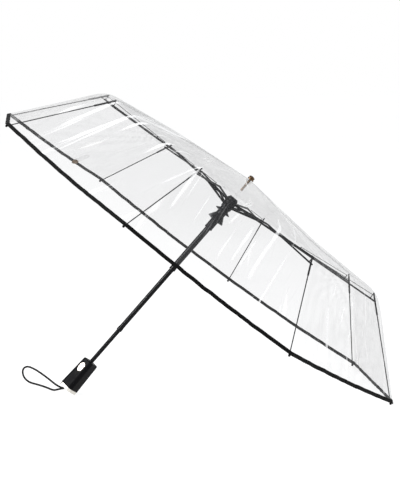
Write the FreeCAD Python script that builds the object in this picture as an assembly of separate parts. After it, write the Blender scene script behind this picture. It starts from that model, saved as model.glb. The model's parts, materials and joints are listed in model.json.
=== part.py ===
import FreeCAD, Part
import math
import os

from FreeCAD import Placement, Rotation, Vector

# A compact folding umbrella with a clear canopy, open, lying on two rib tips and on the heel
# of its handle. Every piece is drawn along the shaft: Z runs up the shaft from the handle's
# end, and X points at the middle of the two tips that touch the ground. lay_down() then tips
# the whole umbrella onto the ground plane Z = 0. Lengths are millimetres, angles degrees.

# ---- canopy and rib layout ----
RIB_COUNT = 8
RIB_STEP = 360.0 / RIB_COUNT
TIP_RADIUS = 480.0
TIP_HEIGHT = 349.2
TIP_BEAD = 2.4

# ---- rib linkage, as (distance from the shaft's axis, height up the shaft) ----
CROWN_PIVOT = (8.6, 494.0)
TOP_RIB_LENGTH = 147.4
TOP_RIB_RISE = 4.3
OUTER_PIVOT = (348.0, 498.0)
TAIL_LENGTH = 16.0
RUNNER_PIVOT = (9.0, 484.0)
STRETCHER_REACH = 55.0

# ---- how the open frame gives under its own weight ----
CANOPY_LEAN = 2.9
GROUND_RIBS = (0, 1)
GROUND_LIFT = 5.6

# ---- rib sections: the links lie side by side, in lanes across the rib's plane ----
RIB_HALF_HEIGHT = 1.6
TOP_LANE = 1.3
MIDDLE_LANE = (1.6, 3.8)
OUTER_LANE = 0.9
FORK_LANE = (1.6, 2.2)
CHANNEL_WALL = 0.45
OUTER_ROD = 1.0
RIVET = 0.7
RIVET_HEAD = 1.2
RUNNING_GAP = 0.08
RING_WIRE = 0.5
RING_EYE = 0.75
CONTROL_WIRE = 0.55

# ---- shaft: three telescoping tubes ----
LOWER_TUBE_FOOT = 17.5
LOWER_TUBE_TOP = 191.0
LOWER_TUBE_RADII = (4.2, 3.6)
MIDDLE_TUBE_FOOT = 156.0
MIDDLE_TUBE_TOP = 340.0
MIDDLE_TUBE_RADII = (5.0, 4.3)
UPPER_TUBE_FOOT = 316.0
UPPER_TUBE_TOP = 505.0
UPPER_TUBE_RADII = (6.0, 5.1)
FERRULE_HEIGHT = 8.0
FERRULE_WALL = 0.6
SPRING_RADIUS = 2.9
PULLEY_HEIGHT = 498.0
PULLEY_RADIUS = 1.7
PULLEY_OFFSET = -2.2

# ---- handle, a tapered block whose long side faces the button ----
HANDLE_FACING = 231.0
HANDLE_FOOT = 6.5
HANDLE_TOP = 72.5
HANDLE_BOTTOM_SIZE = (36.0, 30.0)
HANDLE_TOP_SIZE = (31.0, 25.5)
HANDLE_CORNER = 8.2
HANDLE_WALL = 2.2
CAP_INSET = 0.3
CAP_EDGE = 1.0
SCREW_ACROSS = 10.5
BUTTON_HEIGHT = 54.0
BUTTON_SIZE = (11.0, 20.0)

# ---- canopy film, hem and top ----
FILM_PROFILE = [(5.0, 552.2), (180.0, 537.0), (345.0, 514.5)]
HEM = (484.0, 351.5)
HEM_WIDTH = 7.0
FILM_THICKNESS = 0.2
HEM_THICKNESS = 1.4
POST_TOP = 549.6

# ---- closure strap and its snap, sewn to the hem between two ribs ----
STRAP_RIB = 3
STRAP_SHARE = 0.304
CLOSURE_SIZE = (16.0, 46.0, 0.8)
CLOSURE_OVER_HEM = 4.0
CLOSURE_DEPTH = 2.2
SNAP_RADIUS = 7.4
SNAP_HEIGHT = 2.2

# ---- wrist strap: a cord loop, as points above the ground plane after lay_down() ----
STRAP_DIAMETER = 4.0
STRAP_CLEARANCE = 0.4
CRIMP_LENGTH = 3.0
STRAP_ROUTE = [
    (-249.0, 2.3, 14.5),
    (-263.0, 2.3, 14.5),
    (-275.5, 17.0, 9.0),
    (-283.0, 42.0, 2.4),
    (-296.0, 74.0, 2.1),
    (-313.0, 104.0, 2.2),
    (-332.0, 127.0, 3.0),
    (-343.0, 136.0, 13.5),
    (-344.0, 135.0, 29.0),
    (-335.0, 122.0, 38.0),
    (-322.0, 102.0, 37.0),
    (-307.0, 78.0, 31.5),
    (-291.0, 48.0, 24.5),
    (-277.0, 14.0, 18.5),
    (-263.0, -2.3, 14.5),
    (-249.0, -2.3, 14.5),
]


def turned(point, origin, angle):
    """A point of the rib's plane turned about an origin, counter-clockwise."""
    cosine = math.cos(math.radians(angle))
    sine = math.sin(math.radians(angle))
    dx = point[0] - origin[0]
    dz = point[1] - origin[1]
    return (origin[0] + dx * cosine - dz * sine, origin[1] + dx * sine + dz * cosine)


def toward(start, angle, distance):
    return turned((start[0] + distance, start[1]), start, angle)


def slope(start, end):
    return math.degrees(math.atan2(end[1] - start[1], end[0] - start[0]))


def span(start, end):
    return math.hypot(end[0] - start[0], end[1] - start[1])


# ---- linkage worked out from the driving dimensions ----
MIDDLE_PIVOT = toward(CROWN_PIVOT, TOP_RIB_RISE, TOP_RIB_LENGTH)
STRETCHER_END = toward(CROWN_PIVOT, TOP_RIB_RISE, STRETCHER_REACH)
TIP = (TIP_RADIUS, TIP_HEIGHT)
MIDDLE_RIB_LENGTH = span(MIDDLE_PIVOT, OUTER_PIVOT)
OUTER_SLOPE = slope(OUTER_PIVOT, TIP)
TAIL_END = toward(OUTER_PIVOT, OUTER_SLOPE + 180.0, TAIL_LENGTH)


def rib_angle(number):
    return -RIB_STEP / 2 + RIB_STEP * number


def lean(number):
    """How far a whole rib is raised, because the canopy leans on the shaft."""
    return CANOPY_LEAN * math.cos(math.radians(rib_angle(number)))


def lift(number):
    """How far a rib that stands on the ground is pushed up beyond its first joint."""
    return GROUND_LIFT if number in GROUND_RIBS else 0.0


def flexed(point, number):
    """Where a point of the outer two links of a rib really lies."""
    return turned(turned(point, MIDDLE_PIVOT, lift(number)), CROWN_PIVOT, lean(number))


def stretcher_slope(number):
    return slope(RUNNER_PIVOT, turned(STRETCHER_END, CROWN_PIVOT, lean(number)))


def heel_reach():
    """How far the end cap's outline stands out towards the ground tips."""
    depth = HANDLE_BOTTOM_SIZE[0] / 2 - CAP_INSET
    width = HANDLE_BOTTOM_SIZE[1] / 2 - CAP_INSET
    facing = math.radians(HANDLE_FACING)
    flat = (depth - HANDLE_CORNER) * abs(math.cos(facing))
    side = (width - HANDLE_CORNER) * abs(math.sin(facing))
    return flat + side + HANDLE_CORNER


def across_shaft(point, number):
    """A rib point's place along X, which is where the ground tips point."""
    return point[0] * math.cos(math.radians(rib_angle(number)))


def shaft_elevation():
    """The shaft's angle to the ground when both tips and the heel touch it."""
    tip = flexed(TIP, GROUND_RIBS[0])
    across = across_shaft(tip, GROUND_RIBS[0]) - heel_reach() + CAP_EDGE
    along = tip[1] - CAP_EDGE
    steepness = math.degrees(math.atan2(across, along))
    return steepness + math.degrees(math.asin((TIP_BEAD - CAP_EDGE) / math.hypot(across, along)))


def ground_placement():
    """Tips the shaft over, stands it on Z = 0, and centres the umbrella over the origin."""
    elevation = shaft_elevation()
    cosine = math.cos(math.radians(elevation))
    sine = math.sin(math.radians(elevation))
    tip = flexed(TIP, GROUND_RIBS[0])
    height = TIP_BEAD + across_shaft(tip, GROUND_RIBS[0]) * cosine - tip[1] * sine
    high_number = GROUND_RIBS[0] + RIB_COUNT // 2
    high_tip = flexed(TIP, high_number)
    hem = flexed(HEM, GROUND_RIBS[0])
    lowest_x = across_shaft(high_tip, high_number) * sine + high_tip[1] * cosine - TIP_BEAD
    highest_x = across_shaft(hem, GROUND_RIBS[0]) * sine + hem[1] * cosine
    shift = -(lowest_x + highest_x) / 2
    return Placement(Vector(shift, 0, height), Rotation(Vector(0, 1, 0), 90.0 - elevation))


def lay_down(shape):
    laid = shape.copy()
    laid.Placement = ground_placement().multiply(laid.Placement)
    return laid


def around(shape, number):
    """A piece drawn in the plane of Y = 0, turned to the rib of that number."""
    copy = shape.copy()
    turn = Placement(Vector(), Rotation(Vector(0, 0, 1), rib_angle(number)))
    copy.Placement = turn.multiply(copy.Placement)
    return copy


def swung(shape, pivot, angle):
    """A piece drawn in the plane of Y = 0, swung in that plane about a pivot."""
    swing = Placement(Vector(), Rotation(Vector(0, -1, 0), angle), Vector(pivot[0], 0, pivot[1]))
    copy = shape.copy()
    copy.Placement = swing.multiply(copy.Placement)
    return copy


# ---- building blocks ----
def rod(radius, low, high, across=0.0):
    return Part.makeCylinder(radius, high - low, Vector(across, 0, low))


def sleeve(radii, low, high):
    return rod(radii[0], low, high).cut(rod(radii[1], low - 1.0, high + 1.0))


def turning(profile):
    """A solid of revolution about the shaft from (radius, height) corners."""
    corners = [Vector(radius, 0, height) for radius, height in profile]
    face = Part.Face(Part.makePolygon(corners + corners[:1]))
    return face.revolve(Vector(), Vector(0, 0, 1), 360)


def link(start, end, half_height, low, high):
    """A round-ended bar in the rib's plane, between two side faces across it."""
    first = Vector(start[0], low, start[1])
    last = Vector(end[0], low, end[1])
    along = (last - first).normalize()
    side = Vector(-along.z, 0, along.x) * half_height
    outline = Part.Wire([
        Part.makeLine(first + side, last + side),
        Part.Arc(last + side, last + along * half_height, last - side).toShape(),
        Part.makeLine(last - side, first - side),
        Part.Arc(first - side, first - along * half_height, first + side).toShape(),
    ])
    return Part.Face(outline).extrude(Vector(0, high - low, 0))


def cross_pin(point, radius, low, high):
    """A cylinder across the rib's plane, through a point of it."""
    return Part.makeCylinder(radius, high - low, Vector(point[0], low, point[1]), Vector(0, 1, 0))


def straight_wire(start, end, radius, lane=0.0):
    first = Vector(start[0], lane, start[1])
    last = Vector(end[0], lane, end[1])
    return Part.makeCylinder(radius, (last - first).Length, first, last - first)


def bead(point, radius, lane=0.0):
    return Part.makeSphere(radius, Vector(point[0], lane, point[1]))


def ring(pivot, radius):
    return Part.makeTorus(pivot[0], radius, Vector(0, 0, pivot[1]), Vector(0, 0, 1))


def coil(radius, wire, pitch, low, high):
    """A compression spring along Z, as a round wire swept up a helix."""
    path = Part.makeHelix(pitch, high - low, radius)
    path.translate(Vector(0, 0, low))
    section = Part.Wire(Part.makeCircle(wire, Vector(radius, 0, low), Vector(0, 1, 0)))
    return Part.Wire(path.Edges).makePipeShell([section], True, True)


def rounded_outline(size, corner, height):
    """A rounded rectangle square to the handle, at a height."""
    half_x = size[0] / 2
    half_y = size[1] / 2
    slab = Part.makeBox(size[0], size[1], 1.0, Vector(-half_x, -half_y, height))
    upright = [edge for edge in slab.Edges if abs(edge.Vertexes[0].Z - edge.Vertexes[1].Z) > 0.5]
    base = min(slab.makeFillet(corner, upright).Faces, key=lambda face: face.CenterOfMass.z)
    return base.OuterWire


def inset(size, amount):
    return (size[0] - 2 * amount, size[1] - 2 * amount)


def to_handle(shape):
    """Turns a piece drawn with the button on +X to the way the handle faces."""
    copy = shape.copy()
    copy.rotate(Vector(), Vector(0, 0, 1), HANDLE_FACING)
    return copy


# ---- ribs ----
def channel(start, end, low, high):
    """A pressed rib: a bar hollowed from below, left solid round its pivots."""
    solid_end = 6.0
    angle = slope(start, end)
    floor = (low + CHANNEL_WALL, high - CHANNEL_WALL)
    inner_start = toward(start, angle, solid_end)
    inner_end = toward(end, angle, -solid_end)
    drop = RIB_HALF_HEIGHT
    hollow_start = toward(inner_start, angle - 90.0, drop)
    hollow_end = toward(inner_end, angle - 90.0, drop)
    hollow = link(hollow_start, hollow_end, 2 * RIB_HALF_HEIGHT - CHANNEL_WALL, *floor)
    return link(start, end, RIB_HALF_HEIGHT, low, high).cut(hollow)


def top_rib():
    bar = channel(CROWN_PIVOT, MIDDLE_PIVOT, -TOP_LANE, TOP_LANE)
    eye = cross_pin(CROWN_PIVOT, RING_EYE, -TOP_LANE - 1.0, TOP_LANE + 1.0)
    hole = cross_pin(MIDDLE_PIVOT, RIVET, -TOP_LANE - 1.0, TOP_LANE + 1.0)
    side = MIDDLE_LANE[1] + 0.1
    shank = cross_pin(MIDDLE_PIVOT, RIVET, -TOP_LANE, side)
    inner_head = cross_pin(MIDDLE_PIVOT, RIVET_HEAD, -TOP_LANE - 0.6, -TOP_LANE)
    outer_head = cross_pin(MIDDLE_PIVOT, RIVET_HEAD, side, side + 0.6)
    rivet = shank.fuse([inner_head, outer_head])
    return [bar.cut([eye, hole]), rivet]


def stretcher():
    block_end = toward(RUNNER_PIVOT, slope(RUNNER_PIVOT, STRETCHER_END), 9.0)
    whole = link(RUNNER_PIVOT, STRETCHER_END, 1.4, -FORK_LANE[1], FORK_LANE[1])
    gap = link(
        toward(block_end, slope(RUNNER_PIVOT, STRETCHER_END), 2.0),
        toward(STRETCHER_END, slope(RUNNER_PIVOT, STRETCHER_END), 6.0),
        2.5, -FORK_LANE[0], FORK_LANE[0],
    )
    eye = cross_pin(RUNNER_PIVOT, RING_EYE + 0.15, -4.0, 4.0)
    fork = whole.cut([gap, eye])
    studs = [
        cross_pin(STRETCHER_END, RIVET_HEAD, FORK_LANE[1], FORK_LANE[1] + 0.5),
        cross_pin(STRETCHER_END, RIVET_HEAD, -FORK_LANE[1] - 0.5, -FORK_LANE[1]),
    ]
    return [fork.fuse(studs)]


def middle_rib():
    angle = slope(MIDDLE_PIVOT, OUTER_PIVOT)
    bar = channel(MIDDLE_PIVOT, OUTER_PIVOT, *MIDDLE_LANE)
    bearing = cross_pin(MIDDLE_PIVOT, RIVET + RUNNING_GAP, 0.0, 5.0)
    hole = cross_pin(OUTER_PIVOT, RIVET, 0.0, 5.0)
    lane = sum(MIDDLE_LANE) / 2
    clips = []
    wire_ends = []
    for along, rise in ((46.0, 3.2), (MIDDLE_RIB_LENGTH - 12.0, 8.5)):
        foot = toward(MIDDLE_PIVOT, angle, along)
        top = toward(foot, angle + 90.0, rise)
        clips.append(link(foot, top, 0.9, lane - 0.4, lane + 0.4))
        wire_ends.append(top)
    wire = straight_wire(wire_ends[0], wire_ends[1], CONTROL_WIRE, lane)
    frame = bar.cut([bearing, hole]).fuse(clips + [wire])
    far_side = -OUTER_LANE - 0.1
    shank = cross_pin(OUTER_PIVOT, RIVET, far_side, MIDDLE_LANE[1])
    inner_head = cross_pin(OUTER_PIVOT, RIVET_HEAD, far_side - 0.5, far_side)
    outer_head = cross_pin(OUTER_PIVOT, RIVET_HEAD, MIDDLE_LANE[1], MIDDLE_LANE[1] + 0.5)
    return [frame, shank.fuse([inner_head, outer_head])]


def outer_rib():
    bracket_end = toward(OUTER_PIVOT, OUTER_SLOPE, 26.0)
    bracket = link(TAIL_END, bracket_end, RIB_HALF_HEIGHT, -OUTER_LANE, OUTER_LANE)
    bearing = cross_pin(OUTER_PIVOT, RIVET + RUNNING_GAP, -3.0, 3.0)
    rod_end = toward(TIP, OUTER_SLOPE, -3.5)
    spring_rod = straight_wire(toward(bracket_end, OUTER_SLOPE, -6.0), rod_end, OUTER_ROD)
    tie_knob = bead(toward(OUTER_PIVOT, OUTER_SLOPE, 36.0), 1.4)
    rib = bracket.cut(bearing).fuse([spring_rod, tie_knob])
    cap = straight_wire(rod_end, TIP, 1.7).fuse(bead(TIP, TIP_BEAD))
    return [rib, cap]


# ---- crown and runner ----
def toothed_hub(body, pivot, slot_inner, half_width, low, high):
    """Cuts one slot per rib into a hub, and a groove for its ring wire."""
    reach = 30.0
    slot = Part.makeBox(reach, 2 * half_width, high - low, Vector(slot_inner, -half_width, low))
    slots = [around(slot, number) for number in range(RIB_COUNT)]
    return body.cut(slots).cut(ring(pivot, RING_WIRE))


def crown():
    bore = UPPER_TUBE_RADII[0]
    top = UPPER_TUBE_TOP
    body = turning([
        (bore, 488.0), (11.0, 488.0), (12.0, 489.5), (12.0, 500.0), (8.8, top), (bore, top),
    ])
    return [toothed_hub(body, CROWN_PIVOT, 6.7, TOP_LANE + 0.3, 486.0, 497.3)]


def runner():
    bore = UPPER_TUBE_RADII[0] + 0.1
    body = turning([
        (bore, 425.0), (8.2, 425.0), (8.6, 427.0), (8.2, 429.0), (8.2, 445.0), (17.5, 447.0),
        (17.5, 448.8), (9.6, 462.0), (9.6, 467.0), (16.5, 468.5), (16.5, 470.2), (10.0, 474.0),
        (10.0, 477.0), (11.5, 479.0), (11.5, 488.0), (bore, 488.0),
    ])
    return [toothed_hub(body, RUNNER_PIVOT, 6.8, FORK_LANE[1] + 0.3, 481.0, 489.0)]


def crown_wire():
    return [ring(CROWN_PIVOT, RING_WIRE)]


def runner_wire():
    return [ring(RUNNER_PIVOT, RING_WIRE)]


# ---- shaft ----
def lower_tube():
    return [sleeve(LOWER_TUBE_RADII, LOWER_TUBE_FOOT, LOWER_TUBE_TOP)]


def middle_tube():
    return [sleeve(MIDDLE_TUBE_RADII, MIDDLE_TUBE_FOOT, MIDDLE_TUBE_TOP)]


def upper_tube():
    return [sleeve(UPPER_TUBE_RADII, UPPER_TUBE_FOOT, UPPER_TUBE_TOP)]


def middle_ferrule():
    radii = (MIDDLE_TUBE_RADII[0] + FERRULE_WALL, MIDDLE_TUBE_RADII[0])
    return [sleeve(radii, MIDDLE_TUBE_FOOT, MIDDLE_TUBE_FOOT + FERRULE_HEIGHT)]


def upper_ferrule():
    radii = (UPPER_TUBE_RADII[0] + FERRULE_WALL, UPPER_TUBE_RADII[0])
    return [sleeve(radii, UPPER_TUBE_FOOT, UPPER_TUBE_FOOT + FERRULE_HEIGHT - 1.0)]


def main_spring():
    return [coil(SPRING_RADIUS, 0.35, 6.0, LOWER_TUBE_TOP + 5.0, MIDDLE_TUBE_TOP - 8.0)]


def crown_plug():
    body = rod(UPPER_TUBE_RADII[1], PULLEY_HEIGHT - 6.0, UPPER_TUBE_TOP)
    slot = Part.makeBox(8.0, 2.0, 10.0, Vector(-4.9, -1.0, PULLEY_HEIGHT - 7.0))
    return [body.cut(slot)]


def cord_pulley():
    centre = Vector(PULLEY_OFFSET, 0, PULLEY_HEIGHT - 1.5)
    wheel = cross_pin((centre.x, centre.z), PULLEY_RADIUS, -0.8, 0.8)
    groove = Part.makeTorus(PULLEY_RADIUS, 0.45, centre, Vector(0, 1, 0))
    return [wheel.cut(groove)]


def pull_cord():
    return [rod(0.4, MIDDLE_TUBE_TOP + 11.0, PULLEY_HEIGHT - 1.5)]


# ---- handle ----
def handle_shell():
    corner_top = HANDLE_CORNER - 1.0
    outer = Part.makeLoft([
        rounded_outline(HANDLE_BOTTOM_SIZE, HANDLE_CORNER, HANDLE_FOOT),
        rounded_outline(HANDLE_TOP_SIZE, corner_top, HANDLE_TOP - 2.0),
        rounded_outline(inset(HANDLE_TOP_SIZE, 1.6), corner_top - 1.6, HANDLE_TOP),
    ], True, True)
    inner = Part.makeLoft([
        rounded_outline(
            inset(HANDLE_BOTTOM_SIZE, HANDLE_WALL), HANDLE_CORNER - HANDLE_WALL, HANDLE_FOOT
        ),
        rounded_outline(
            inset(HANDLE_TOP_SIZE, HANDLE_WALL), corner_top - HANDLE_WALL, HANDLE_TOP - 5.0
        ),
    ], True, True)
    window = button_outline(0.25, 4.0, 25.0)
    shaft_hole = rod(LOWER_TUBE_RADII[0], HANDLE_FOOT, HANDLE_TOP + 1.0)
    return [to_handle(outer.cut([inner, window, shaft_hole]))]


def button_outline(margin, inner, outer):
    """The push button's oval, drawn on +X, between two distances from the shaft."""
    half_width = BUTTON_SIZE[0] / 2 + margin
    rise = BUTTON_SIZE[1] / 2 - BUTTON_SIZE[0] / 2
    low = Vector(inner, 0, BUTTON_HEIGHT - rise)
    high = Vector(inner, 0, BUTTON_HEIGHT + rise)
    side = Vector(0, half_width, 0)
    end = Vector(0, 0, half_width)
    outline = Part.Wire([
        Part.makeLine(low + side, high + side),
        Part.Arc(high + side, high + end, high - side).toShape(),
        Part.makeLine(high - side, low - side),
        Part.Arc(low - side, low - end, low + side).toShape(),
    ])
    return Part.Face(outline).extrude(Vector(outer - inner, 0, 0))


def push_button():
    face = button_outline(0.0, 9.0, 17.7)
    rim = max(face.Faces, key=lambda part: part.CenterOfMass.x)
    rounded = face.makeFillet(0.9, rim.Edges)
    flange = button_outline(1.0, 9.0, 10.4)
    return [to_handle(rounded.fuse(flange))]


def button_spring():
    """A bowed leaf between the latch and the button."""
    foot = 6.6
    crest = 8.5
    thick = 0.35
    rise = 6.0
    low = Vector(foot, -2.0, BUTTON_HEIGHT - rise)
    high = Vector(foot, -2.0, BUTTON_HEIGHT + rise)
    top = Vector(crest, -2.0, BUTTON_HEIGHT)
    shift = Vector(thick, 0, 0)
    outline = Part.Wire([
        Part.Arc(low, top, high).toShape(),
        Part.makeLine(high, high + shift),
        Part.Arc(high + shift, top + shift, low + shift).toShape(),
        Part.makeLine(low + shift, low),
    ])
    return [to_handle(Part.Face(outline).extrude(Vector(0, 4.0, 0)))]


def release_latch():
    plate = Part.makeBox(2.0, 8.0, 13.0, Vector(4.4, -4.0, BUTTON_HEIGHT - 6.5))
    nose = Part.makeBox(2.0, 3.0, 5.0, Vector(4.4, -1.5, BUTTON_HEIGHT + 6.5))
    return [to_handle(plate.fuse(nose))]


def strap_space(length):
    """A level block round the strap's two ends, which lie side by side in the end cap."""
    inner, sideways, height = STRAP_ROUTE[0]
    half_height = STRAP_DIAMETER / 2 + STRAP_CLEARANCE
    half_width = abs(sideways) + half_height
    corner = Vector(inner + CRIMP_LENGTH - length, -half_width, height - half_height)
    block = Part.makeBox(length, 2 * half_width, 2 * half_height, corner)
    block.Placement = ground_placement().inverse()
    return block


def end_cap():
    outline = inset(HANDLE_BOTTOM_SIZE, CAP_INSET)
    plate = Part.makeLoft([
        rounded_outline(outline, HANDLE_CORNER, 0.0),
        rounded_outline(outline, HANDLE_CORNER, HANDLE_FOOT),
    ], True, True)
    foot = min(plate.Faces, key=lambda face: face.CenterOfMass.z)
    plate = plate.makeFillet(CAP_EDGE, foot.Edges)
    plug_size = inset(HANDLE_BOTTOM_SIZE, HANDLE_WALL + 0.6)
    plug = Part.makeLoft([
        rounded_outline(plug_size, 5.0, HANDLE_FOOT),
        rounded_outline(plug_size, 5.0, HANDLE_FOOT + 10.0),
    ], True, True)
    cap = to_handle(plate.fuse(plug))
    screw_way = rod(1.2, -1.0, 9.0, SCREW_ACROSS).fuse(rod(2.3, -1.0, 1.6, SCREW_ACROSS))
    return [cap.cut([screw_way, strap_space(40.0)])]


def end_cap_screw():
    shank = rod(1.2, 1.6, 8.0, SCREW_ACROSS)
    head = rod(2.1, 0.3, 1.6, SCREW_ACROSS)
    cross = Part.makeBox(3.0, 0.6, 0.8, Vector(SCREW_ACROSS - 1.5, -0.3, 0.0))
    return [shank.fuse(head).cut(cross)]


def strap_crimp():
    """The metal crimp that grips both ends of the strap, inside the end cap."""
    return [strap_space(CRIMP_LENGTH)]


def wrist_strap():
    """The cord: straight runs joined by tangent arcs, swept by its round section."""
    points = [Vector(*point) for point in STRAP_ROUTE]
    edges = []
    start = points[0]
    for before, corner, after in zip(points, points[1:], points[2:]):
        back = (before - corner).normalize()
        ahead = (after - corner).normalize()
        half_turn = (math.pi - back.getAngle(ahead)) / 2
        trim = 0.45 * min((before - corner).Length, (after - corner).Length)
        print("strap bend radius %.1f" % (trim / math.tan(half_turn)))
        first = corner + back * trim
        last = corner + ahead * trim
        middle_way = (back + ahead).normalize()
        centre = corner + middle_way * (trim / math.sin(half_turn))
        radius = (first - centre).Length
        edges.append(Part.makeLine(start, first))
        edges.append(Part.Arc(first, centre - middle_way * radius, last).toShape())
        start = last
    edges.append(Part.makeLine(start, points[-1]))
    path = Part.Wire(edges)
    heading = points[1] - points[0]
    section = Part.Wire(Part.makeCircle(STRAP_DIAMETER / 2, points[0], heading))
    cord = path.makePipeShell([section], True, False)
    ideal = path.Length * math.pi * STRAP_DIAMETER**2 / 4
    print("strap length %.1f, volume over section times length %.4f" % (path.Length, cord.Volume / ideal))
    cord.Placement = ground_placement().inverse()
    return [cord]


# ---- canopy ----
def film_line(number):
    """The film's outer line over one rib, from the canopy's top to where the hem tape starts."""
    shoulder = turned(FILM_PROFILE[1], CROWN_PIVOT, lean(number))
    return [FILM_PROFILE[0], shoulder, flexed(FILM_PROFILE[2], number), flexed(hem_joint(), number)]


def hem_joint():
    return toward(HEM, slope(FILM_PROFILE[-1], HEM), -HEM_WIDTH)


def hem_line(number):
    """The hem tape's outer line over one rib, standing proud of the film on both sides."""
    sideways = slope(FILM_PROFILE[-1], HEM) + 90.0
    proud = (HEM_THICKNESS - FILM_THICKNESS) / 2
    edges = [toward(point, sideways, proud) for point in (hem_joint(), HEM)]
    return [flexed(edge, number) for edge in edges]


def section_at(profile, thickness, angle):
    """The film's closed section in one rib's plane: its outer line and the line inside it."""
    normals = []
    for start, end in zip(profile, profile[1:]):
        length = span(start, end)
        normals.append(((end[1] - start[1]) / length, (start[0] - end[0]) / length))
    inside = []
    for index, corner in enumerate(profile):
        before = normals[max(index - 1, 0)]
        after = normals[min(index, len(normals) - 1)]
        share = 1.0 + before[0] * after[0] + before[1] * after[1]
        shift = [(one + two) * thickness / share for one, two in zip(before, after)]
        inside.append((corner[0] + shift[0], corner[1] + shift[1]))
    turn = Rotation(Vector(0, 0, 1), angle)
    return [turn.multVec(Vector(r, 0, z)) for r, z in profile + inside[::-1]]


def facet(corners):
    """A flat face whose outer side is the one from which its corners run anticlockwise."""
    face = Part.Face(Part.makePolygon(corners + [corners[0]]))
    outward = (corners[1] - corners[0]).cross(corners[2] - corners[0])
    if face.normalAt(0, 0).dot(outward) < 0:
        face.reverse()
    return face


def panels(line_over, thickness):
    """Eight panels with flat facets, each spanning from one rib's plane to the next."""
    solids = []
    for number in range(RIB_COUNT):
        following = (number + 1) % RIB_COUNT
        near = section_at(line_over(number), thickness, rib_angle(number))
        far = section_at(line_over(following), thickness, rib_angle(following))
        faces = [facet(near[::-1]), facet(far)]
        for index in range(len(near)):
            after = (index + 1) % len(near)
            if index < len(near) // 2:
                faces.append(facet([near[index], near[after], far[after]]))
                faces.append(facet([near[index], far[after], far[index]]))
            else:
                faces.append(facet([near[index], near[after], far[index]]))
                faces.append(facet([near[after], far[after], far[index]]))
        solid = Part.Solid(Part.Shell(faces))
        if solid.Volume < 0:
            solid.reverse()
        solids.append(solid)
    return solids


def canopy():
    return panels(film_line, FILM_THICKNESS)


def edge_binding():
    return panels(hem_line, HEM_THICKNESS)


def on_strap_panel(point, share):
    """A place on the strap's panel, between the same points of its two ribs."""
    ends = []
    for number in (STRAP_RIB, STRAP_RIB + 1):
        radius, height = flexed(point, number)
        turn = Rotation(Vector(0, 0, 1), rib_angle(number))
        ends.append(turn.multVec(Vector(radius, 0, height)))
    return ends[0] + (ends[1] - ends[0]) * share


def sewn_on(shape):
    """Lays a flat piece, drawn with its face up and the hem at X = 0, under the film."""
    hem = on_strap_panel(HEM, STRAP_SHARE)
    down = hem - on_strap_panel(FILM_PROFILE[-1], STRAP_SHARE)
    across = on_strap_panel(HEM, 1.0) - on_strap_panel(HEM, 0.0)
    copy = shape.copy()
    copy.Placement = Placement(hem, Rotation(down, across, Vector(), "XYZ"))
    return copy


def closure_strap():
    width, length, thick = CLOSURE_SIZE
    start = Vector(CLOSURE_OVER_HEM - length, -width / 2, -CLOSURE_DEPTH - thick)
    return [sewn_on(Part.makeBox(length, width, thick, start))]


def snap_button():
    low = -CLOSURE_DEPTH - CLOSURE_SIZE[2] - SNAP_HEIGHT
    disc = Part.makeCylinder(SNAP_RADIUS, SNAP_HEIGHT, Vector(-CLOSURE_OVER_HEM, 0, low))
    return [sewn_on(disc)]


# ---- top of the shaft ----
def apex_post():
    return [sleeve((4.2, 2.5), UPPER_TUBE_TOP, POST_TOP)]


def canopy_washer():
    return [sleeve((9.0, 2.5), POST_TOP, POST_TOP + 1.4)]


def finial():
    base = POST_TOP + 3.0
    return [turning([
        (0.0, base - 28.0), (2.4, base - 28.0), (2.4, base), (6.2, base), (6.9, base + 1.0),
        (6.9, base + 2.6), (5.6, base + 3.4), (5.6, base + 4.2), (6.4, base + 5.0),
        (6.0, base + 6.6), (3.6, base + 8.2), (0.0, base + 8.6),
    ])]


PIECES = {
    "handle_shell": handle_shell,
    "end_cap": end_cap,
    "end_cap_screw": end_cap_screw,
    "strap_crimp": strap_crimp,
    "wrist_strap": wrist_strap,
    "push_button": push_button,
    "button_spring": button_spring,
    "release_latch": release_latch,
    "lower_tube": lower_tube,
    "middle_tube": middle_tube,
    "middle_ferrule": middle_ferrule,
    "main_spring": main_spring,
    "upper_tube": upper_tube,
    "upper_ferrule": upper_ferrule,
    "crown": crown,
    "crown_wire": crown_wire,
    "crown_plug": crown_plug,
    "cord_pulley": cord_pulley,
    "pull_cord": pull_cord,
    "runner": runner,
    "runner_wire": runner_wire,
    "apex_post": apex_post,
    "canopy_washer": canopy_washer,
    "finial": finial,
    "canopy": canopy,
    "edge_binding": edge_binding,
    "closure_strap": closure_strap,
    "snap_button": snap_button,
}

RIB_PIECES = {
    "top_rib": top_rib,
    "stretcher": stretcher,
    "middle_rib": middle_rib,
    "outer_rib": outer_rib,
}


def in_place(kind, solid, number):
    """Swings a rib link to its open angle and turns it round the shaft to its rib."""
    if kind == "stretcher":
        swing = stretcher_slope(number) - slope(RUNNER_PIVOT, STRETCHER_END)
        return around(swung(solid, RUNNER_PIVOT, swing), number)
    if kind != "top_rib":
        solid = swung(solid, MIDDLE_PIVOT, lift(number))
    return around(swung(solid, CROWN_PIVOT, lean(number)), number)


def save(name, solids):
    laid = [lay_down(solid) for solid in solids]
    shape = laid[0] if len(laid) == 1 else Part.makeCompound(laid)
    shape.exportStep("parts/%s.step" % name)
    return shape


os.makedirs("parts", exist_ok=True)
for piece_name, build in PIECES.items():
    save(piece_name, build())
for piece_name, build in RIB_PIECES.items():
    drawn = build()
    for rib_number in range(RIB_COUNT):
        placed = [in_place(piece_name, solid, rib_number) for solid in drawn]
        save("%s_%d" % (piece_name, rib_number + 1), placed)
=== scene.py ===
"""A folding umbrella with a clear canopy, standing open on the floor and leaning on its shaft."""

import json
import math

import bpy
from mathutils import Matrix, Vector, noise


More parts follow.
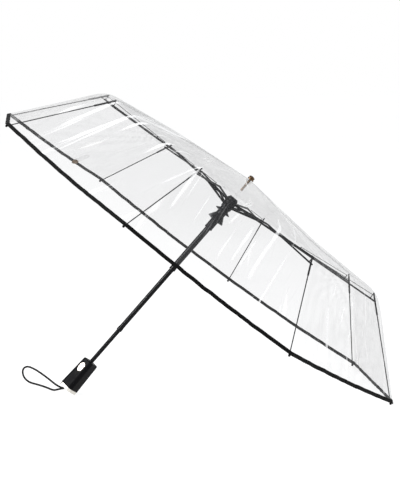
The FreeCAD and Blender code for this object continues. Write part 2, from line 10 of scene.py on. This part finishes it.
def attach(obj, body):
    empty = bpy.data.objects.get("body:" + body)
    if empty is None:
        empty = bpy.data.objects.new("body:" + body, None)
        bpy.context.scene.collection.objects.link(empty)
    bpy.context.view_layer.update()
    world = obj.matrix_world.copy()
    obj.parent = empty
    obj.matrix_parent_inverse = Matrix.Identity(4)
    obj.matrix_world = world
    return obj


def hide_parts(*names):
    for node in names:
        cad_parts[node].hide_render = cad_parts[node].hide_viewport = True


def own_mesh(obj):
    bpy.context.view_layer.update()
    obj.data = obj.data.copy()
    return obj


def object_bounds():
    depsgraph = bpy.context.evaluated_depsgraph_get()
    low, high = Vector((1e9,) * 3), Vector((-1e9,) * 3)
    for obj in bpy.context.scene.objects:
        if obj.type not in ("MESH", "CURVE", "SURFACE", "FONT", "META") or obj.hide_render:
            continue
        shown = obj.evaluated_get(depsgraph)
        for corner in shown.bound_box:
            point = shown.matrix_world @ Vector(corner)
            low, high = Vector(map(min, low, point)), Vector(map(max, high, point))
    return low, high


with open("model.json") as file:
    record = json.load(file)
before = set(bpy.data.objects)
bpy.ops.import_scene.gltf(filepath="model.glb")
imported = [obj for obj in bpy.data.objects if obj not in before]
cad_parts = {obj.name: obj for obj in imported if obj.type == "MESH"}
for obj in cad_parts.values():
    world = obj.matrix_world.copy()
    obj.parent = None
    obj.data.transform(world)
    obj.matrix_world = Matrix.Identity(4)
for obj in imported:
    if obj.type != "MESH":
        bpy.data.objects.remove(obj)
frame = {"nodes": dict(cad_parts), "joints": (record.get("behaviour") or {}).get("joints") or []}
cad_low, cad_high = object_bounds()
nodes = frame["nodes"]
joints = {joint["name"]: joint for joint in frame["joints"]}

MM = 0.001
RIBS = 8

# the studio's walls and ceiling
WALL_TONE = (1.0, 1.0, 1.0)
CEILING_TONE = (0.42, 0.43, 0.45)

# canopy film, in millimetres unless it says otherwise
CAP_RADIUS = 26.0
SHOULDER_ROUND = 30.0
ELBOW_ROUND = 26.0
HALF_COLUMNS = 16
ZONE_ROWS = (16, 20, 34)
PANEL_SAG = 5.0
HEM_BOW = 4.0
WRINKLE = 1.5
HEM_OVERLAP = 2.0
STRAIGHT_HEMS = (0, 4)
TAPE_ROUND = 10
TAPE_FULLNESS = 1.25
TAPE_HALF_THICKNESS = 0.65
TAPE_PUCKER = 0.25

# shares of the way from the crown to the hem, and the steps that slopes are read over
ELBOW_SHARE = 0.68
SLOPE_STEP = 0.02
NORMAL_STEP = 0.004

# the rib, counted from 0, that carries the closure strap
STRIP_RIB = 3

# wrist strap: the same route as the CAD solid's, in metres
STRAP_DIAMETER = 0.004
STRAP_ROUTE = (
    (-0.2490, 0.0023, 0.0145),
    (-0.2630, 0.0023, 0.0145),
    (-0.2755, 0.0170, 0.0090),
    (-0.2830, 0.0420, 0.0024),
    (-0.2960, 0.0740, 0.0021),
    (-0.3130, 0.1040, 0.0022),
    (-0.3320, 0.1270, 0.0030),
    (-0.3430, 0.1360, 0.0135),
    (-0.3440, 0.1350, 0.0290),
    (-0.3350, 0.1220, 0.0380),
    (-0.3220, 0.1020, 0.0370),
    (-0.3070, 0.0780, 0.0315),
    (-0.2910, 0.0480, 0.0245),
    (-0.2770, 0.0140, 0.0185),
    (-0.2630, -0.0023, 0.0145),
    (-0.2490, -0.0023, 0.0145),
)

FLOOR_HALF = 14.0
FLOOR_GAP = 0.0002
AIM = (0.0, 0.0, 0.3)


# ---- camera, light and floor ----
def add_camera():
    data = bpy.data.cameras.new("camera")
    data.lens = 125.287
    data.sensor_width = 36.0
    data.clip_start = 0.05
    data.clip_end = 60.0
    camera = bpy.data.objects.new("camera", data)
    camera.location = (-0.32680, -3.33292, 0.72455)
    camera.rotation_euler = [math.radians(a) for a in (82.70000, 0.83168, -5.94436)]
    bpy.context.scene.collection.objects.link(camera)
    bpy.context.scene.camera = camera


def add_area_light(name, place, aim, size, power):
    data = bpy.data.lights.new(name, "AREA")
    data.shape = "RECTANGLE"
    data.size, data.size_y = size
    data.energy = power
    light = bpy.data.objects.new(name, data)
    light.location = place
    light.rotation_euler = (Vector(aim) - Vector(place)).to_track_quat("-Z", "Y").to_euler()
    bpy.context.scene.collection.objects.link(light)


def add_world():
    world = bpy.data.worlds.new("studio")
    world.use_nodes = True
    tree = world.node_tree
    place = add(tree, "TexCoord").outputs["Generated"]
    height = add(tree, "SeparateXYZ", {"Vector": place}).outputs["Z"]
    sky = tinted(tree, height, WALL_TONE, CEILING_TONE, 0.10, 0.55)
    tree.links.new(sky, tree.nodes["Background"].inputs["Color"])
    bpy.context.scene.world = world
    bpy.context.scene.view_settings.view_transform = "Standard"


# ---- materials ----
def add(tree, kind, inputs=None, **settings):
    """Adds a shader node, with sockets or numbers for its inputs."""
    made = tree.nodes.new("ShaderNode" + kind)
    for key, value in settings.items():
        setattr(made, key, value)
    for key, value in (inputs or {}).items():
        if isinstance(value, bpy.types.NodeSocket):
            tree.links.new(value, made.inputs[key])
        else:
            made.inputs[key].default_value = value
    return made


def new_material(name):
    made = bpy.data.materials.new(name)
    made.use_nodes = True
    tree = made.node_tree
    shader = tree.nodes["Principled BSDF"]
    place = add(tree, "TexCoord").outputs["Object"]
    return made, tree, shader, place


def spots(tree, place, size, detail=4.0, stretch=(1.0, 1.0, 1.0), turn=(0.0, 0.0, 0.0)):
    """Noise whose features are about size metres across."""
    mapped = add(tree, "Mapping", {"Vector": place, "Scale": stretch, "Rotation": turn})
    made = add(
        tree,
        "TexNoise",
        {"Vector": mapped.outputs["Vector"], "Scale": 1.0 / size, "Detail": detail},
    )
    return made.outputs["Fac"]


def between(tree, factor, low, high, start=0.3, end=0.7):
    """Turns a factor into a number from low to high."""
    made = add(
        tree,
        "MapRange",
        {"Value": factor, "From Min": start, "From Max": end, "To Min": low, "To Max": high},
    )
    return made.outputs["Result"]


def tinted(tree, factor, dark, light, start=0.3, end=0.7):
    """Turns a factor into a colour from dark to light."""
    made = add(tree, "ValToRGB", {"Fac": factor})
    ramp = made.color_ramp.elements
    ramp[0].position, ramp[1].position = start, end
    ramp[0].color, ramp[1].color = (*dark, 1.0), (*light, 1.0)
    return made.outputs["Color"]


def blended(tree, factor, one, other):
    """Goes from one colour to another as the factor goes from 0 to 1."""
    made = add(tree, "Mix", {0: factor}, data_type="RGBA")
    for index, value in ((6, one), (7, other)):
        if isinstance(value, bpy.types.NodeSocket):
            tree.links.new(value, made.inputs[index])
        else:
            made.inputs[index].default_value = (*value, 1.0)
    return made.outputs[2]


def bumped(tree, shader, height, depth):
    made = add(tree, "Bump", {"Height": height, "Distance": depth, "Strength": 1.0})
    tree.links.new(made.outputs["Normal"], shader.inputs["Normal"])


def worn_edges(tree, place):
    """A factor that is high on sharp outer edges, broken up as rubbing leaves them."""
    pointed = add(tree, "NewGeometry").outputs["Pointiness"]
    edge = between(tree, pointed, 0.0, 1.0, 0.505, 0.56)
    patchy = between(tree, spots(tree, place, 0.004), 0.0, 1.0, 0.42, 0.62)
    return add(tree, "Math", {0: edge, 1: patchy}, operation="MULTIPLY").outputs[0]


def moulded(name, dark, light, rubbed, rough, grain, depth, gloss):
    """Moulded plastic: fine spark-eroded grain, faint flow marks and rubbed edges."""
    made, tree, shader, place = new_material(name)
    shader.inputs["Specular IOR Level"].default_value = gloss
    flow = spots(tree, place, 0.018, 3.0)
    colour = tinted(tree, flow, dark, light)
    colour = blended(tree, worn_edges(tree, place), colour, rubbed)
    tree.links.new(colour, shader.inputs["Base Color"])
    handled = spots(tree, place, 0.009, 5.0)
    tree.links.new(between(tree, handled, *rough), shader.inputs["Roughness"])
    bumped(tree, shader, spots(tree, place, grain, 2.0), depth)
    return made


def drawn_metal(name, dark, light, rough, depth, metallic, gloss):
    """Drawn metal, bare or lacquered, with fine lines along the shaft."""
    made, tree, shader, place = new_material(name)
    shader.inputs["Specular IOR Level"].default_value = gloss
    along = (0.0, -math.asin(shaft.x), 0.0)
    lines = spots(tree, place, 0.0009, 3.0, (1.0, 1.0, 0.02), along)
    cloudy = spots(tree, place, 0.02, 4.0)
    tree.links.new(tinted(tree, cloudy, dark, light), shader.inputs["Base Color"])
    mixed = add(tree, "Math", {0: lines, 1: cloudy}, operation="ADD").outputs[0]
    tree.links.new(between(tree, mixed, *rough, 0.7, 1.3), shader.inputs["Roughness"])
    shader.inputs["Metallic"].default_value = metallic
    bumped(tree, shader, lines, depth)
    return made


def cast_metal(name, dark, light, tarnish, rough):
    """Plated metal with a brushed finish and darker tarnish in patches."""
    made, tree, shader, place = new_material(name)
    brushed = spots(tree, place, 0.0006, 2.0, (1.0, 0.06, 1.0))
    patches = spots(tree, place, 0.006, 5.0)
    colour = tinted(tree, brushed, dark, light)
    dull = between(tree, patches, 0.0, 0.5, 0.5, 0.75)
    tree.links.new(blended(tree, dull, colour, tarnish), shader.inputs["Base Color"])
    tree.links.new(between(tree, patches, *rough), shader.inputs["Roughness"])
    shader.inputs["Metallic"].default_value = 1.0
    bumped(tree, shader, brushed, 0.00002)
    return made


def woven(name, dark, light, pitch, rough):
    """Dull woven tape or braided cord: crossing threads and a little fuzz."""
    made, tree, shader, place = new_material(name)
    threads = []
    for turn in ((0.0, 0.3, 0.8), (0.0, -0.3, -0.8)):
        mapped = add(tree, "Mapping", {"Vector": place, "Rotation": turn})
        wave = add(
            tree,
            "TexWave",
            {"Vector": mapped.outputs["Vector"], "Scale": 0.31 / pitch, "Distortion": 0.8},
        )
        threads.append(wave.outputs["Fac"])
    crossed = add(tree, "Math", {0: threads[0], 1: threads[1]}, operation="MAXIMUM")
    fuzz = spots(tree, place, pitch * 0.7, 6.0)
    height = add(tree, "Math", {0: crossed.outputs[0], 1: fuzz}, operation="MULTIPLY")
    tree.links.new(
        tinted(tree, height.outputs[0], dark, light, 0.1, 0.7), shader.inputs["Base Color"]
    )
    tree.links.new(between(tree, fuzz, *rough), shader.inputs["Roughness"])
    shader.inputs["Specular IOR Level"].default_value = 0.12
    bumped(tree, shader, height.outputs[0], pitch * 0.3)
    return made


def clear_sheet(name, dark, light, low, high, crease_highlight_alpha, rough):
    """Clear vinyl: clearest face on, as glass is, cloudy, with fine pulled creases that carry
    painted white highlight streaks.
    """
    made, tree, shader, place = new_material(name)
    slant = add(tree, "LayerWeight", {"Blend": 0.5}).outputs["Facing"]
    milky = between(tree, slant, 0.0, 1.0, 0.45, 0.90)
    cloth = add(tree, "Attribute", attribute_name="cloth").outputs["Vector"]
    cloudy = spots(tree, place, 0.10, 3.0)
    pulled = add(tree, "Mapping", {"Vector": cloth, "Scale": (95.0, 5.0, 1.0)})
    lines = add(
        tree,
        "TexNoise",
        {"Vector": pulled.outputs["Vector"], "Scale": 1.0, "Detail": 2.0, "Distortion": 0.4},
    ).outputs["Fac"]
    patches = add(tree, "Mapping", {"Vector": cloth, "Scale": (9.0, 7.0, 1.0)})
    patchy = add(
        tree, "TexNoise", {"Vector": patches.outputs["Vector"], "Scale": 1.0, "Detail": 2.0}
    ).outputs["Fac"]
    # Painted highlight: white streaks along the pulled creases whiten the base colour and raise
    # the opacity, standing in for light glinting off the creased film.
    sharp = between(tree, lines, 0.0, 1.0, 0.58, 0.70)
    where = between(tree, patchy, 0.0, 1.0, 0.48, 0.62)
    crease_highlight_mask = add(tree, "Math", {0: sharp, 1: where}, operation="MULTIPLY").outputs[0]
    grey = tinted(tree, cloudy, dark, light)
    highlight_whitening = between(tree, crease_highlight_mask, 0.0, 1.0, 0.0, 0.35)
    tree.links.new(
        blended(tree, highlight_whitening, grey, (1.0, 1.0, 1.0)), shader.inputs["Base Color"]
    )
    seen = between(tree, milky, low, high, 0.0, 1.0)
    highlight_opacity = between(tree, crease_highlight_mask, 0.0, crease_highlight_alpha, 0.0, 1.0)
    alpha = add(tree, "Math", {0: seen, 1: highlight_opacity}, operation="ADD", use_clamp=True)
    tree.links.new(alpha.outputs[0], shader.inputs["Alpha"])
    tree.links.new(between(tree, cloudy, *rough), shader.inputs["Roughness"])
    bumped(tree, shader, lines, 0.0008)
    return made


def floor_material():
    made, tree, shader, place = new_material("floor_paper")
    mottled = spots(tree, place, 0.4, 2.0)
    tree.links.new(
        tinted(tree, mottled, (0.25, 0.25, 0.25), (0.28, 0.28, 0.28)),
        shader.inputs["Base Color"],
    )
    shader.inputs["Roughness"].default_value = 0.9
    shader.inputs["Emission Color"].default_value = (1.0, 1.0, 1.0, 1.0)
    shader.inputs["Emission Strength"].default_value = 0.83
    return made


# ---- mesh helpers ----
def mesh_object(name, points, faces, material, normals=None, cloth=None):
    """A smooth mesh, with its faces turned to agree with any normals given."""
    mesh = bpy.data.meshes.new(name)
    if normals:
        a, b, c = (points[corner] for corner in faces[len(faces) // 2][:3])
        if (b - a).cross(c - a).dot(normals[faces[len(faces) // 2][0]]) < 0:
            faces = [face[::-1] for face in faces]
    mesh.from_pydata([tuple(point) for point in points], [], faces)
    mesh.polygons.foreach_set("use_smooth", [True] * len(mesh.polygons))
    mesh.update()
    if cloth:
        layer = mesh.attributes.new("cloth", "FLOAT_VECTOR", "POINT")
        layer.data.foreach_set("vector", [value for place in cloth for value in place])
    if normals:
        mesh.normals_split_custom_set_from_vertices([tuple(n) for n in normals])
    mesh.materials.append(material)
    made = bpy.data.objects.new(name, mesh)
    bpy.context.scene.collection.objects.link(made)
    return made


def grid_faces(rows, columns):
    """Quads of a grid whose points are listed row by row."""
    faces = []
    for row in range(rows - 1):
        for column in range(columns - 1):
            first = row * columns + column
            faces.append((first, first + 1, first + columns + 1, first + columns))
    return faces


def tube_faces(rings, around, closed_ends=True):
    """Quads that join rings of points, one ring after another."""
    faces = []
    for row in range(rings - 1):
        for step in range(around):
            after = (step + 1) % around
            here, there = row * around, (row + 1) * around
            faces.append((here + step, here + after, there + after, there + step))
    if closed_ends:
        faces.append(tuple(range(around))[::-1])
        faces.append(tuple((rings - 1) * around + step for step in range(around)))
    return faces


# ---- the rib lines, read from the frame ----
shaft = Vector(joints["upper_tube_slide"]["axis"]).normalized()
crown_pivots = [Vector(joints["top_rib_hinge_%d" % n]["pos_m"]) for n in range(1, RIBS + 1)]
crown = sum(crown_pivots, Vector()) / RIBS
outward = [(pivot - crown).normalized() for pivot in crown_pivots]


def profile_of(node, rib):
    """The middle line of a thin CAD sheet over one rib, as (distance, height) in metres."""
    found = set()
    for vertex in nodes[node].data.vertices:
        away = vertex.co - crown
        height = away.dot(shaft)
        flat = away - shaft * height
        if flat.length > 1e-6 and flat.normalized().dot(outward[rib]) > 0.9999:
            found.add((round(flat.length, 5), round(height, 5)))
    pairs = sorted(found)
    return [
        ((a[0] + b[0]) / 2, (a[1] + b[1]) / 2) for a, b in zip(pairs[::2], pairs[1::2])
    ]


def rounded(points, radii):
    """A fine line through the points, with each inner corner rounded over its radius."""
    corners = [Vector(point) for point in points]
    line = [corners[0]]
    for index, radius in zip(range(1, len(corners) - 1), radii):
        corner = corners[index]
        before = corner + (corners[index - 1] - corner).normalized() * radius
        after = corner + (corners[index + 1] - corner).normalized() * radius
        for step in range(9):
            t = step / 8
            line.append(before * (1 - t) ** 2 + corner * (2 * t * (1 - t)) + after * t * t)
    line.append(corners[-1])
    return line


class RibLine:
    """The film's line over one rib, by the share of its length in each of three zones."""

    def __init__(self, rib):
        film = profile_of("canopy", rib)
        tape = profile_of("edge_binding", rib)
        self.tape = [Vector(point) for point in tape]
        down = (self.tape[1] - self.tape[0]).normalized()
        end = self.tape[0] + down * HEM_OVERLAP * MM
        points = film[:3] + [tuple(end)]
        self.line = rounded(points, (SHOULDER_ROUND * MM, ELBOW_ROUND * MM))
        middle = Vector(joints["middle_rib_hinge_%d" % (rib + 1)]["pos_m"]) - crown
        reach = (middle - shaft * middle.dot(shaft)).length
        self.lengths = [0.0]
        for one, other in zip(self.line, self.line[1:]):
            self.lengths.append(self.lengths[-1] + (other - one).length)
        self.breaks = [
            self.length_at(CAP_RADIUS * MM),
            self.length_at(reach),
            self.length_at(film[2][0]),
            self.lengths[-1],
        ]
        self.side = outward[rib]

    def length_at(self, reach):
        for one, other, length in zip(self.line, self.line[1:], self.lengths):
            if one.x <= reach <= other.x:
                return length + (other - one).length * (reach - one.x) / (other.x - one.x)
        return self.lengths[-1]

    def at(self, length):
        for index in range(len(self.line) - 1):
            if length <= self.lengths[index + 1] or index == len(self.line) - 2:
                span = self.lengths[index + 1] - self.lengths[index]
                share = (length - self.lengths[index]) / span
                flat = self.line[index].lerp(self.line[index + 1], share)
                return crown + self.side * flat.x + shaft * flat.y

    def in_zone(self, zone, share):
        """Zone 0 is the cap; 1, 2 and 3 lie over the three links of the rib."""
        start = 0.0 if zone == 0 else self.breaks[zone - 1]
        return self.at(start + (self.breaks[zone] - start) * share)


rib_lines = [RibLine(rib) for rib in range(RIBS)]


# ---- the film's surface ----
def reach_share(zone, share):
    """How far out a row is: 0 at the crown and 1 at the hem."""
    starts = (0.0, 0.05, 0.32, ELBOW_SHARE)
    ends = (0.05, 0.32, ELBOW_SHARE, 1.0)
    return starts[zone] + (ends[zone] - starts[zone]) * share


def film_point(gore, across, zone, share):
    """A point of the film between rib gore and the next one, pulled taut with faint creases."""
    one, other = rib_lines[gore], rib_lines[(gore + 1) % RIBS]
    near, far = one.in_zone(zone, share), other.in_zone(zone, share)
    flat = near.lerp(far, across)
    out = reach_share(zone, share)
    bulge = math.sin(math.pi * across)
    centre = (one.side + other.side).normalized()
    down_share = min(share + SLOPE_STEP, 1.0)
    up_share = max(share - SLOPE_STEP, 0.0)
    down = one.in_zone(zone, down_share).lerp(other.in_zone(zone, down_share), 0.5)
    down = down - one.in_zone(zone, up_share).lerp(other.in_zone(zone, up_share), 0.5)
    down = down.normalized() if down.length > 1e-9 else centre
    normal = down.cross(far - near)
    if normal.length < 1e-12:
        normal = shaft.copy()
    normal.normalize()
    if normal.dot(near.lerp(far, 0.5) - crown + shaft * 0.2) < 0:
        normal = -normal
    sag = -PANEL_SAG * MM * bulge * math.sin(math.pi * min(out * 1.05, 1.0))
    bow = HEM_BOW * MM * bulge * max(0.0, (out - 0.7) / 0.3) ** 2
    if gore in STRAIGHT_HEMS:
        bow = 0.0
    width = (far - near).length
    place = Vector((across * width * 55.0, out * 3.2 + across * 1.5, gore * 7.3))
    wrinkle = noise.fractal(place, 1.0, 2.2, 3) * WRINKLE * MM
    fan_angle = math.atan2(across * width, 0.05 + abs(out - ELBOW_SHARE))
    fan = Vector((fan_angle * 14.0, gore * 3.1, out * 2.0))
    near_elbow = math.exp(-((out - 0.75) / 0.18) ** 2)
    wrinkle += noise.noise(fan) * WRINKLE * 1.2 * MM * near_elbow
    wrinkle *= bulge ** 0.5 * min(1.0, out * 2.5)
    return flat + normal * (sag + wrinkle) + down * bow


def film_grid(gore, zone, rows, first, last, columns):
    """Points, normals and cloth places of part of a gore, from first to last across it."""
    points, normals, cloth = [], [], []
    for row in range(rows):
        share = row / (rows - 1)
        for column in range(columns):
            across = first + (last - first) * column / (columns - 1)
            points.append(film_point(gore, across, zone, share))
            cloth.append(cloth_place(gore, across, zone, share))
            left = film_point(gore, max(across - NORMAL_STEP, 0.0), zone, share)
            right = film_point(gore, min(across + NORMAL_STEP, 1.0), zone, share)
            up = film_point(gore, across, zone, max(share - NORMAL_STEP, 0.0))
            down = film_point(gore, across, zone, min(share + NORMAL_STEP, 1.0))
            normal = (down - up).cross(right - left)
            if normal.length < 1e-15:
                normal = shaft.copy()
            normal.normalize()
            if normal.dot(shaft + outward[gore] * 0.8) < 0:
                normal = -normal
            normals.append(normal)
    return points, normals, cloth


def cloth_place(gore, across, zone, share):
    """Where a point lies on the flat gore, in metres, for the film's creases."""
    one, other = rib_lines[gore], rib_lines[(gore + 1) % RIBS]
    near, far = one.in_zone(zone, share), other.in_zone(zone, share)
    along = (near.lerp(far, across) - crown).length
    return ((across - 0.5) * (far - near).length, along, gore * 3.7)


ZONE_BODIES = (None, "top_rib_%d", "middle_rib_%d", "outer_rib_%d")
ZONE_NAMES = (None, "film_top", "film_middle", "film_outer")


def fold_towards_rib(made, rib, centre):
    """Finds the point on the rib nearest the piece's centre, which is not used, and gives the
    piece its own copy of its mesh.
    """
    line = rib_lines[rib]
    best = min(
        (line.in_zone(zone, step / 20) for zone in (1, 2, 3) for step in range(21)),
        key=lambda point: (point - centre).length,
    )
    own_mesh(made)


def squared(value):
    """Pushes a sine or cosine outwards, so that a ring becomes a rounded rectangle."""
    return math.copysign(abs(value) ** 0.6, value)


def tape_section(gore, across):
    """A ring of points round the hem tape where it crosses the film's edge."""
    one, other = rib_lines[gore], rib_lines[(gore + 1) % RIBS]
    ends = []
    for index in (0, 1):
        near = crown + one.side * one.tape[index].x + shaft * one.tape[index].y
        far = crown + other.side * other.tape[index].x + shaft * other.tape[index].y
        ends.append(near.lerp(far, across))
    down = ends[1] - ends[0]
    width = down.length
    down = down.normalized()
    along = (
        crown + other.side * other.tape[1].x + shaft * other.tape[1].y
        - crown - one.side * one.tape[1].x - shaft * one.tape[1].y
    ).normalized()
    normal = down.cross(along).normalized()
    edge = film_point(gore, across, 3, 1.0)
    shift = edge - ends[0] - down * HEM_OVERLAP * MM
    middle = ends[0] + down * width / 2 + shift
    pucker = noise.noise(Vector((across * 30.0, gore * 5.0, 0.3))) * TAPE_PUCKER * MM
    ring = []
    for step in range(TAPE_ROUND):
        angle = 2 * math.pi * step / TAPE_ROUND
        wide = squared(math.cos(angle)) * width / 2 * TAPE_FULLNESS
        thick = squared(math.sin(angle)) * TAPE_HALF_THICKNESS * MM
        ring.append(middle + down * wide + normal * (thick + pucker))
    return ring


def build_canopy(film, tape):
    """Every gore in two halves, each half in three zones, with its length of hem tape."""
    made_tapes = []
    for gore in range(RIBS):
        for side in (0, 1):
            rib = (gore + side) % RIBS
            label = "%d%s" % (rib + 1, "ab"[side])
            first, last = (0.0, 0.5) if side == 0 else (0.5, 1.0)
            points = []
            rings = 2 * HALF_COLUMNS
            for step in range(rings):
                points += tape_section(gore, first + (last - first) * step / (rings - 1))
            binding = mesh_object(
                "hem_tape_" + label, points, tube_faces(rings, TAPE_ROUND), tape
            )
            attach(binding, "outer_rib_%d" % (rib + 1))
            centre = sum(points, Vector()) / len(points)
            fold_towards_rib(binding, rib, centre)
            made_tapes.append(binding)
            for zone in (1, 2, 3):
                rows = ZONE_ROWS[zone - 1]
                points, normals, cloth = film_grid(gore, zone, rows, first, last, HALF_COLUMNS)
                piece = mesh_object(
                    "%s_%s" % (ZONE_NAMES[zone], label),
                    points,
                    grid_faces(rows, HALF_COLUMNS),
                    film,
                    normals,
                    cloth,
                )
                body = ZONE_BODIES[zone] % (rib + 1)
                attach(piece, body)
                centre = sum(points, Vector()) / len(points)
                fold_towards_rib(piece, rib, centre)
    return made_tapes


def build_cap(film):
    """The film round the top post, where the eight panels meet."""
    rows, columns = 7, 9
    points, normals, cloth = [], [], []
    for row in range(rows):
        for gore in range(RIBS):
            for column in range(columns - 1):
                across = column / (columns - 1)
                points.append(film_point(gore, across, 0, row / (rows - 1)))
                cloth.append(cloth_place(gore, across, 0, row / (rows - 1)))
                normals.append(shaft)
    around = RIBS * (columns - 1)
    cap = mesh_object("film_cap", points, tube_faces(rows, around, False), film, normals, cloth)
    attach(cap, "crown")
    return cap


# ---- closure strap and its snap ----
def strip_frame():
    """The middle of the CAD strap and its length, width and thickness as vectors."""
    corners = {tuple(round(c, 6) for c in v.co) for v in nodes["closure_strap"].data.vertices}
    corners = [Vector(corner) for corner in corners]
    near = sorted((corner - corners[0] for corner in corners), key=lambda edge: edge.length)
    thick, wide, long = near[1], near[2], near[4]
    if thick.dot(shaft) < 0:
        thick = -thick
    return sum(corners, Vector()) / len(corners), long, wide, thick


def build_closure_strap(material):
    """A clear welded strip with round ends that hangs under the hem with its snap."""
    middle, long, wide, thick = strip_frame()
    rows, columns = 24, 9
    points, cloth = [], []
    for row in range(rows):
        lengthwise = row / (rows - 1) - 0.5
        past_end = max(0.0, abs(lengthwise) * long.length - (long.length - wide.length) / 2)
        fullness = math.sqrt(max(0.0, 1.0 - (2 * past_end / wide.length) ** 2))
        for column in range(columns):
            sideways = (column / (columns - 1) - 0.5) * max(fullness, 0.05)
            curl = thick * (1.2 * math.sin(3.0 * lengthwise) * lengthwise + 0.9 * sideways**2)
            points.append(middle + long * lengthwise + wide * sideways + curl)
            cloth.append((sideways * 0.02, lengthwise * 0.05, 41.0))
    strip = mesh_object(
        "closure_strip", points, grid_faces(rows, columns), material, None, cloth
    )
    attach(strip, "outer_rib_4")
    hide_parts("closure_strap")
    fold_towards_rib(strip, STRIP_RIB, middle)


def turned_piece(name, foot, axis, profile, material):
    """A small round piece about an axis, from (radius, height) pairs in millimetres."""
    side = axis.orthogonal().normalized()
    other = axis.cross(side)
    around = 40
    points = []
    for radius, height in profile:
        for step in range(around):
            angle = 2 * math.pi * step / around
            arm = side * math.cos(angle) + other * math.sin(angle)
            points.append(foot + axis * height * MM + arm * radius * MM)
    return mesh_object(name, points, tube_faces(len(profile), around), material)


def build_snap(material):
    """The bronze snap: a ringed cap below the strap and a rivet cap above it."""
    thick = strip_frame()[3]
    normal = thick.normalized()
    corners = [vertex.co for vertex in nodes["snap_button"].data.vertices]
    centre = (Vector(map(min, zip(*corners))) + Vector(map(max, zip(*corners)))) / 2
    ring = [
        (7.0, 1.0), (7.4, 0.6), (7.4, -0.2), (6.9, -0.9), (6.1, -1.1), (5.3, -0.7), (4.8, -0.2),
        (4.0, -0.1), (3.5, -0.6), (3.1, -1.3), (2.3, -1.6), (0.3, -1.6),
    ]
    cap = [(0.3, 3.4), (2.6, 3.3), (5.0, 3.0), (6.0, 2.6), (6.3, 2.1), (5.8, 1.0)]
    for name, outline in (("snap_ring", ring), ("snap_cap", cap)):
        piece = turned_piece(name, centre, normal, outline, material)
        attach(piece, "outer_rib_4")
        fold_towards_rib(piece, STRIP_RIB, centre)
    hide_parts("snap_button")


# ---- wrist strap ----
def build_strap(material):
    curve = bpy.data.curves.new("wrist_cord", "CURVE")
    curve.dimensions = "3D"
    curve.bevel_depth = STRAP_DIAMETER / 2
    curve.bevel_resolution = 6
    curve.resolution_u = 24
    curve.use_fill_caps = True
    spline = curve.splines.new("NURBS")
    spline.points.add(len(STRAP_ROUTE) - 1)
    for point, place in zip(spline.points, STRAP_ROUTE):
        point.co = (*place, 1.0)
    spline.order_u = 3
    spline.use_endpoint_u = True
    curve.materials.append(material)
    cord = bpy.data.objects.new("wrist_cord", curve)
    bpy.context.scene.collection.objects.link(cord)
    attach(cord, "handle")
    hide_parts("wrist_strap")


# ---- build ----
add_camera()
materials = {
    "black_plastic": moulded(
        "soft_touch_plastic", (0.0015, 0.0015, 0.002), (0.004, 0.004, 0.005),
        (0.010, 0.010, 0.010), (0.35, 0.52), 0.0004, 0.00003, 0.05,
    ),
    "hub_plastic": moulded(
        "hub_nylon", (0.002, 0.002, 0.003), (0.005, 0.005, 0.007),
        (0.014, 0.014, 0.018), (0.22, 0.40), 0.0006, 0.00002, 0.10,
    ),
    "ivory_metal": cast_metal(
        "satin_silver", (0.62, 0.60, 0.55), (0.80, 0.78, 0.73), (0.45, 0.42, 0.38),
        (0.25, 0.40),
    ),
    "champagne_metal": cast_metal(
        "champagne_plating", (0.80, 0.70, 0.60), (0.95, 0.88, 0.80), (0.60, 0.50, 0.42),
        (0.18, 0.30),
    ),
    "black_tube": drawn_metal(
        "black_lacquered_tube", (0.001, 0.001, 0.0015), (0.003, 0.003, 0.004), (0.14, 0.26),
        0.00001, 0.0, 0.12,
    ),
    "black_rib": drawn_metal(
        "black_lacquered_rib", (0.001, 0.001, 0.0015), (0.003, 0.003, 0.004), (0.30, 0.45),
        0.00002, 0.0, 0.07,
    ),
    "steel": drawn_metal(
        "bright_steel", (0.50, 0.50, 0.51), (0.66, 0.66, 0.67), (0.22, 0.38), 0.00001, 1.0, 0.5
    ),
    "bronze": cast_metal(
        "antique_bronze", (0.07, 0.042, 0.025), (0.18, 0.12, 0.07), (0.02, 0.013, 0.01),
        (0.22, 0.42),
    ),
    "clear_film": clear_sheet(
        "clear_vinyl", (0.18, 0.18, 0.183), (0.25, 0.25, 0.253), 0.125, 0.36, 0.55, (0.08, 0.20)
    ),
    "clear_plastic": clear_sheet(
        "clear_acrylic", (0.55, 0.55, 0.56), (0.70, 0.70, 0.71), 0.03, 0.12, 0.05, (0.05, 0.15)
    ),
    "black_tape": woven(
        "woven_tape", (0.0005, 0.0005, 0.0005), (0.003, 0.003, 0.003), 0.0006, (0.6, 0.85)
    ),
    "black_cord": woven(
        "braided_cord", (0.002, 0.002, 0.002), (0.012, 0.012, 0.012), 0.0009, (0.5, 0.8)
    ),
}

tapes = build_canopy(materials["clear_film"], materials["black_tape"])
cap = build_cap(materials["clear_film"])
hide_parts("canopy")
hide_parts("edge_binding")
build_closure_strap(materials["clear_film"])
build_snap(materials["bronze"])
build_strap(materials["black_cord"])

for name, item in nodes.items():
    for index, old in enumerate(item.data.materials):
        slot_name = old.name.split(".")[0] if old else ""
        if slot_name in materials:
            item.data.materials[index] = materials[slot_name]

floor_corners = [
    Vector((x * FLOOR_HALF, y * FLOOR_HALF, cad_low.z - FLOOR_GAP))
    for x, y in ((-1, -1), (1, -1), (1, 1), (-1, 1))
]
floor = mesh_object("floor", floor_corners, [(0, 1, 2, 3)], floor_material())
add_world()
add_area_light("key", (-2.2, -2.6, 2.4), AIM, (1.6, 1.6), 45.0)
add_area_light("fill", (2.6, -1.6, 1.6), AIM, (1.8, 1.8), 6.0)
add_area_light("edge", (-1.9, -1.0, 2.1), AIM, (0.25, 1.2), 60.0)
add_area_light("top", (0.2, 0.8, 2.8), AIM, (2.2, 2.2), 25.0)
